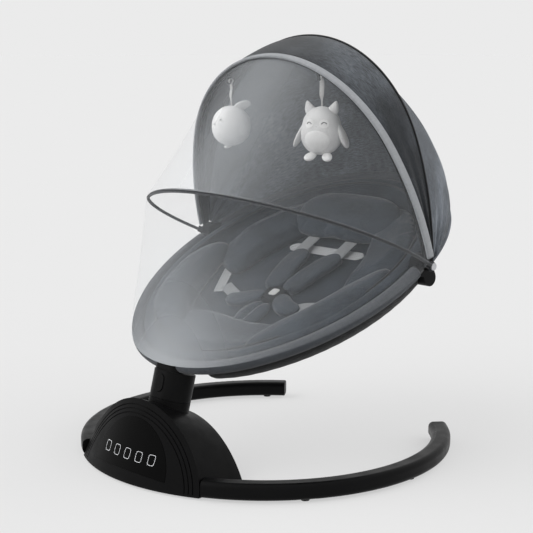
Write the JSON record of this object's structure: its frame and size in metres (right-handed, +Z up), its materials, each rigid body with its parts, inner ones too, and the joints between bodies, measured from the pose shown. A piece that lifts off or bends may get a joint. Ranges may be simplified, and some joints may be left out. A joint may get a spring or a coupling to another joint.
{
  "type": "baby swing",
  "caption": "Low baby swing: padded oval seat on one swivelling post over a ring base, with folding canopy, net, harness and hanging toys.",
  "frame": {"origin": "on the floor, at the centre of the footprint", "axes": "+Z up, +X to the right seen from the front, -Y towards the control panel"},
  "size_m": [0.57, 0.5838, 0.6242],
  "materials": {
    "leg_paint": "satin black",
    "housing": "fine satin, dark grey",
    "panel": "gloss black",
    "black_plastic": "fine grain black",
    "rubber": "matt",
    "steel": "zinc plated",
    "tube": "satin black",
    "bronze": "oiled",
    "copper": "enamelled wire",
    "magnet": "nickel plated",
    "circuit": "resin board",
    "sleeve_fabric": "woven, light grey",
    "liner": "short plush, slate grey",
    "sling": "coarse weave, black",
    "strap": "padded cover, charcoal",
    "webbing": "woven tape, pale grey",
    "pale_plastic": "satin pale grey",
    "canopy": "grey melange weave",
    "net": "fine open net",
    "plush_white": "plush, white",
    "plush_grey": "plush, pale grey"
  },
  "bodies": {
    "base": {"right_leg": "leg_paint", "left_leg": "leg_paint", "leg_caps": "black_plastic", "leg_collars": "black_plastic", "leg_spigots": "black_plastic", "rubber_feet": "rubber", "base_plate": "black_plastic", "base_screws": "steel", "front_housing": "housing", "rear_housing": "housing", "control_panel": "panel", "main_board": "circuit", "speaker": "black_plastic", "power_jack": "black_plastic", "shaft_carrier": "black_plastic", "lower_bush": "bronze", "upper_bush": "bronze", "drive_coil": "copper"},
    "swing": {"swing_shaft": "steel", "magnet_arm": "black_plastic", "drive_magnets": "magnet", "swing_post": "black_plastic", "seat_stub": "black_plastic", "saddle_bolts": "steel", "release_spring": "steel", "rim_tube_front": "tube", "rim_tube_rear": "tube", "rim_sleeve": "sleeve_fabric", "right_hub": "black_plastic", "left_hub": "black_plastic", "pivot_pins": "steel", "seat_sling": "sling", "seat_pad": "liner", "head_pillow": "liner", "right_bolster": "liner", "left_bolster": "liner", "crotch_pad": "strap", "right_shoulder_strap": "strap", "left_shoulder_strap": "strap", "waist_straps": "webbing", "buckle_body": "black_plastic", "strap_adjusters": "pale_plastic"},
    "release_button": {"release_button": "black_plastic"},
    "buckle_button": {"buckle_button": "pale_plastic"},
    "mid_bow": {"mid_bow": "black_plastic", "rear_hood": "canopy"},
    "front_bow": {"front_bow": "black_plastic", "canopy_panel": "canopy"},
    "net_frame": {"net_hoop": "black_plastic", "net_upper": "net", "net_lower": "net"},
    "owl_toy": {"owl_strap": "webbing", "owl_body": "plush_white", "owl_right_wing": "plush_grey", "owl_left_wing": "plush_grey", "owl_right_foot": "plush_white", "owl_left_foot": "plush_white"},
    "bird_toy": {"bird_strap": "webbing", "bird_body": "plush_white", "bird_wing": "plush_grey"}
  },
  "joints": [
    {"name": "swing_turn", "type": "hinge", "parent": "base", "child": "swing", "pos_m": [0, -0.22502, 0], "axis": [0, 0.2588, 0.9659], "range_deg": [-12, 12]},
    {"name": "release_press", "type": "slide", "parent": "swing", "child": "release_button", "axis": [0, 0.9659, -0.2588], "range_m": [0, 0.004], "stiffness_N_per_m": 900, "deforming": ["release_spring"]},
    {"name": "buckle_press", "type": "slide", "parent": "swing", "child": "buckle_button", "axis": [0, 0.4493, -0.8934], "range_m": [0, 0.002], "stiffness_N_per_m": 1500},
    {"name": "hood_fold", "type": "hinge", "parent": "swing", "child": "mid_bow", "pos_m": [0, 0.08599, 0.29701], "axis": [-1, 0, 0], "range_deg": [0, 40], "deforming": ["rear_hood"]},
    {"name": "visor_fold", "type": "hinge", "parent": "mid_bow", "child": "front_bow", "pos_m": [0, 0.08599, 0.29701], "axis": [-1, 0, 0], "range_deg": [0, 12], "deforming": ["canopy_panel"]},
    {"name": "net_lift", "type": "hinge", "parent": "front_bow", "child": "net_frame", "pos_m": [0, 0.08599, 0.29701], "axis": [-1, 0, 0], "range_deg": [0, 26], "deforming": ["net_upper", "net_lower"]},
    {"name": "owl_swing", "type": "hinge", "parent": "front_bow", "child": "owl_toy", "pos_m": [0.0944, 0.01685, 0.56436], "axis": [1, 0, 0], "range_deg": [-15, 52]},
    {"name": "bird_swing", "type": "hinge", "parent": "front_bow", "child": "bird_toy", "pos_m": [-0.1056, 0.01935, 0.5547], "axis": [1, 0, 0], "range_deg": [-15, 52]}
  ]
}
